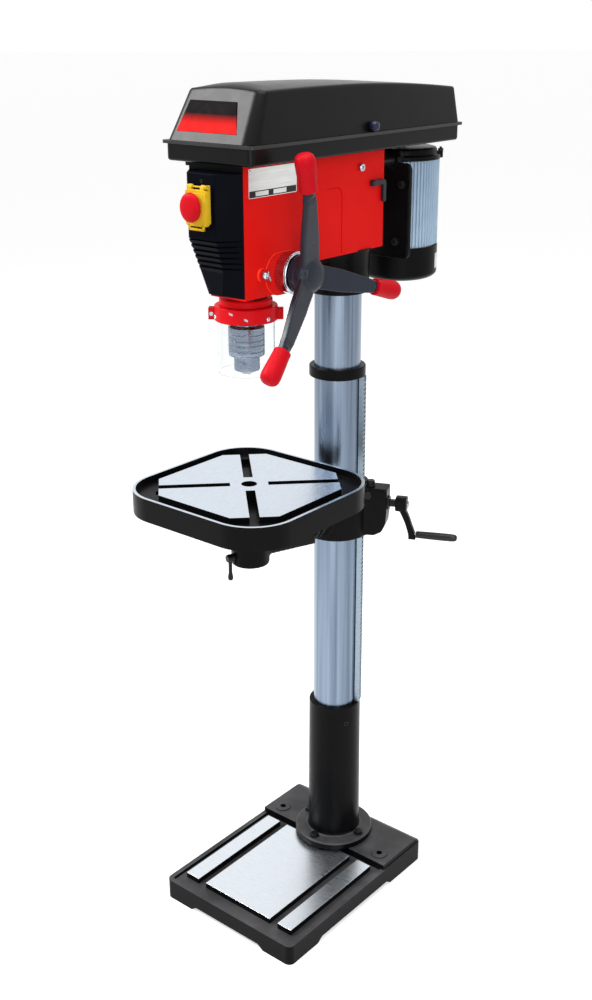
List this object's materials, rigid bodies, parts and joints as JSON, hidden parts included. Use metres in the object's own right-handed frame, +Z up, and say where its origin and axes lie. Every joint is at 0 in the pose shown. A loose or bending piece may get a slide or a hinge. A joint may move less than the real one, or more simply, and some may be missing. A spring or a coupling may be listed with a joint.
{
  "type": "pillar drill",
  "caption": "Floor-standing pillar drill with tilting table on a rack lift, belt drive under a hinged lid, sprung quill with keyed chuck, guard and three-arm feed handle.",
  "frame": {"origin": "middle of the box that the drill stands in, on the floor under its feet", "axes": "+Z up, the operator stands at -Y and faces +Y, +X is the operator right side with the feed handle"},
  "size_m": [0.4128, 0.7274, 1.696],
  "materials": {
    "cast_black": "black enamel on cast iron",
    "machined": "ground iron faces",
    "column_steel": "ground steel tube",
    "steel": "bright machined steel",
    "dark_steel": "oiled dark steel",
    "red_paint": "smooth red enamel",
    "navy_plastic": "dark satin plastic",
    "black_sheet": "black powder coat on pressed steel",
    "yellow_plastic": "yellow switch plastic",
    "red_plastic": "glossy red plastic",
    "green_plastic": "green push button",
    "clear_plastic": "clear moulded guard",
    "arm_paint": "blue-grey enamel on cast arms",
    "rubber": "drive belt rubber",
    "motor_paint": "blue-grey motor enamel",
    "aluminium": "turned aluminium"
  },
  "bodies": {
    "stand": {"base_casting": "cast_black", "column_socket": "cast_black", "flange_bolt_1": "steel", "flange_bolt_2": "steel", "flange_bolt_3": "steel", "flange_bolt_4": "steel", "column_tube": "column_steel", "rack_collar": "cast_black", "head_casting": "red_paint", "front_cover": "navy_plastic", "switch_housing": "yellow_plastic", "belt_tray": "black_sheet", "lid_hinge_rod": "steel", "spring_case": "black_sheet", "idler_arm": "dark_steel", "belt_front": "rubber", "belt_rear": "rubber"},
    "rack": {"rack_bar": "steel"},
    "bracket": {"table_bracket": "cast_black", "tilt_bolt": "dark_steel"},
    "clamp_lever": {"column_clamp_lever": "dark_steel"},
    "gear": {"lift_gear": "steel"},
    "crank": {"worm_shaft": "dark_steel", "crank_arm": "cast_black"},
    "crank_handle": {"crank_grip": "navy_plastic"},
    "arm": {"table_arm": "cast_black"},
    "table": {"table_casting": "cast_black"},
    "table_lock": {"table_lock_lever": "dark_steel"},
    "quill": {"quill": "steel", "guard_clamp": "cast_black"},
    "guard": {"guard_holder": "red_plastic", "guard_shield": "clear_plastic"},
    "spindle": {"spindle": "steel", "chuck_body": "steel"},
    "chuck_ring": {"chuck_sleeve": "steel"},
    "jaw_1": {"chuck_jaw_1": "dark_steel"},
    "jaw_2": {"chuck_jaw_2": "dark_steel"},
    "jaw_3": {"chuck_jaw_3": "dark_steel"},
    "feed": {"pinion_shaft": "steel", "feed_handle": "arm_paint", "feed_grip_1": "red_plastic", "feed_grip_2": "red_plastic", "feed_grip_3": "red_plastic"},
    "depth_ring": {"depth_drum": "aluminium"},
    "depth_screw": {"depth_lock_screw": "steel"},
    "quill_lock": {"quill_lock_screw": "steel"},
    "drive_pulley": {"spindle_pulley": "aluminium"},
    "idler": {"idler_pulley": "aluminium"},
    "motor": {"motor_slide": "cast_black", "motor_body": "motor_paint", "motor_fan_cover": "cast_black"},
    "rotor": {"motor_pulley": "aluminium"},
    "tension": {"tension_lever": "arm_paint"},
    "slide_lock": {"slide_lock_screw": "steel"},
    "lid": {"belt_lid": "black_sheet"},
    "lid_latch": {"lid_knob": "navy_plastic"},
    "flap": {"switch_flap": "yellow_plastic"},
    "stop": {"stop_button": "red_plastic"},
    "off": {"off_button": "red_plastic"},
    "start": {"start_button": "green_plastic"}
  },
  "joints": [
    {"name": "table_swing", "type": "hinge", "parent": "stand", "child": "rack", "pos_m": [-0.02542, 0.08526, 0.9], "axis": [0, 0, 1], "range_deg": [-180, 180]},
    {"name": "table_lift", "type": "slide", "parent": "rack", "child": "bracket", "axis": [0, 0, 1], "range_m": [-0.39, 0.2]},
    {"name": "lift_gear_turn", "type": "hinge", "parent": "bracket", "child": "gear", "pos_m": [0.0344, 0.11315, 0.8868], "axis": [-0.4226, 0.9063, 0], "range_deg": [-1000, 1950]},
    {"name": "crank_turn", "type": "hinge", "parent": "bracket", "child": "crank", "pos_m": [0.07428, 0.13175, 0.867], "axis": [0.9063, 0.4226, 0], "range_deg": [-15000, 7700]},
    {"name": "crank_grip_spin", "type": "hinge", "parent": "crank", "child": "crank_handle", "pos_m": [0.15585, 0.16978, 0.802], "axis": [0.9063, 0.4226, 0], "continuous": true},
    {"name": "column_clamp_turn", "type": "hinge", "parent": "bracket", "child": "clamp_lever", "pos_m": [-0.089, 0.13861, 0.8505], "axis": [-0.6428, -0.766, 0], "range_deg": [-30, 60]},
    {"name": "table_tilt", "type": "hinge", "parent": "bracket", "child": "arm", "pos_m": [-0.02542, -0.00674, 0.845], "axis": [0, -1, 0], "range_deg": [-45, 45]},
    {"name": "table_turn", "type": "hinge", "parent": "arm", "child": "table", "pos_m": [-0.02542, -0.18274, 0.9], "axis": [0, 0, 1], "continuous": true},
    {"name": "table_lock_turn", "type": "hinge", "parent": "arm", "child": "table_lock", "pos_m": [-0.04007, -0.22529, 0.832], "axis": [-0.3256, -0.9455, 0], "range_deg": [-60, 90]},
    {"name": "quill_feed", "type": "slide", "parent": "stand", "child": "quill", "axis": [0, 0, -1], "range_m": [0, 0.12], "stiffness_N_per_m": 150, "springref_m": -0.75},
    {"name": "guard_turn", "type": "hinge", "parent": "quill", "child": "guard", "pos_m": [-0.02542, -0.18274, 1.3], "axis": [0, 0, 1], "range_deg": [-60, 120]},
    {"name": "spindle_spin", "type": "hinge", "parent": "quill", "child": "spindle", "pos_m": [-0.02542, -0.18274, 1.4], "axis": [0, 0, 1], "continuous": true},
    {"name": "chuck_ring_turn", "type": "hinge", "parent": "spindle", "child": "chuck_ring", "pos_m": [-0.02542, -0.18274, 1.25], "axis": [0, 0, 1], "range_deg": [0, 1440]},
    {"name": "jaw_1_slide", "type": "slide", "parent": "spindle", "child": "jaw_1", "axis": [0.2588, 0, 0.9659], "range_m": [0, 0.018]},
    {"name": "jaw_2_slide", "type": "slide", "parent": "spindle", "child": "jaw_2", "axis": [-0.1294, 0.2241, 0.9659], "range_m": [0, 0.018]},
    {"name": "jaw_3_slide", "type": "slide", "parent": "spindle", "child": "jaw_3", "axis": [-0.1294, -0.2241, 0.9659], "range_m": [0, 0.018]},
    {"name": "feed_turn", "type": "hinge", "parent": "stand", "child": "feed", "pos_m": [-0.02542, -0.14074, 1.377], "axis": [1, 0, 0], "range_deg": [0, 495]},
    {"name": "depth_ring_turn", "type": "hinge", "parent": "feed", "child": "depth_ring", "pos_m": [0.05058, -0.14074, 1.377], "axis": [1, 0, 0], "range_deg": [-330, 330]},
    {"name": "depth_screw_turn", "type": "hinge", "parent": "depth_ring", "child": "depth_screw", "pos_m": [0.05058, -0.09574, 1.377], "axis": [0, 1, 0], "range_deg": [0, 360]},
    {"name": "quill_lock_turn", "type": "hinge", "parent": "stand", "child": "quill_lock", "pos_m": [0.04458, -0.20974, 1.382], "axis": [1, 0, 0], "range_deg": [0, 360]},
    {"name": "motor_spin", "type": "hinge", "parent": "motor", "child": "rotor", "pos_m": [-0.02542, 0.28526, 1.6], "axis": [0, 0, 1], "continuous": true},
    {"name": "drive_pulley_spin", "type": "hinge", "parent": "stand", "child": "drive_pulley", "pos_m": [-0.02542, -0.18274, 1.62], "axis": [0, 0, 1], "continuous": true},
    {"name": "idler_spin", "type": "hinge", "parent": "stand", "child": "idler", "pos_m": [-0.02542, 0.01326, 1.62], "axis": [0, 0, 1], "continuous": true},
    {"name": "motor_slide_move", "type": "slide", "parent": "stand", "child": "motor", "axis": [0, -1, 0], "range_m": [0, 0.008]},
    {"name": "tension_lever_turn", "type": "hinge", "parent": "stand", "child": "tension", "pos_m": [0.03458, 0.10526, 1.506], "axis": [1, 0, 0], "range_deg": [0, 27]},
    {"name": "slide_lock_turn", "type": "hinge", "parent": "stand", "child": "slide_lock", "pos_m": [0.04058, 0.06726, 1.538], "axis": [1, 0, 0], "range_deg": [0, 360]},
    {"name": "lid_open", "type": "hinge", "parent": "stand", "child": "lid", "pos_m": [-0.13342, 0.03526, 1.603], "axis": [0, -1, 0], "range_deg": [0, 95]},
    {"name": "lid_knob_turn", "type": "hinge", "parent": "lid", "child": "lid_latch", "pos_m": [0.07958, 0.05526, 1.6135], "axis": [1, 0, 0], "range_deg": [0, 180]},
    {"name": "flap_lift", "type": "hinge", "parent": "stand", "child": "flap", "pos_m": [-0.02542, -0.29794, 1.5346], "axis": [-1, 0, 0], "range_deg": [0, 100]},
    {"name": "stop_push", "type": "slide", "parent": "flap", "child": "stop", "axis": [0, 1, 0], "range_m": [0, 0.003], "stiffness_N_per_m": 900},
    {"name": "off_push", "type": "slide", "parent": "stand", "child": "off", "axis": [0, 1, 0], "range_m": [0, 0.003], "stiffness_N_per_m": 900},
    {"name": "start_push", "type": "slide", "parent": "stand", "child": "start", "axis": [0, 1, 0], "range_m": [0, 0.003], "stiffness_N_per_m": 900}
  ],
  "couplings": [
    {"joint": "lift_gear_turn", "follows": "table_lift", "rad_per_m": -83.333},
    {"joint": "crank_turn", "follows": "table_lift", "rad_per_m": 666.67},
    {"joint": "feed_turn", "follows": "quill_feed", "rad_per_m": 71.429},
    {"joint": "spindle_spin", "follows": "motor_spin", "ratio": 1},
    {"joint": "drive_pulley_spin", "follows": "motor_spin", "ratio": 1},
    {"joint": "idler_spin", "follows": "motor_spin", "ratio": 1},
    {"joint": "tension_lever_turn", "follows": "motor_slide_move", "rad_per_m": 54},
    {"joint": "off_push", "follows": "stop_push", "ratio": 1},
    {"joint": "jaw_1_slide", "follows": "chuck_ring_turn", "m_per_rad": 0.00070904},
    {"joint": "jaw_2_slide", "follows": "chuck_ring_turn", "m_per_rad": 0.00070904},
    {"joint": "jaw_3_slide", "follows": "chuck_ring_turn", "m_per_rad": 0.00070904}
  ]
}
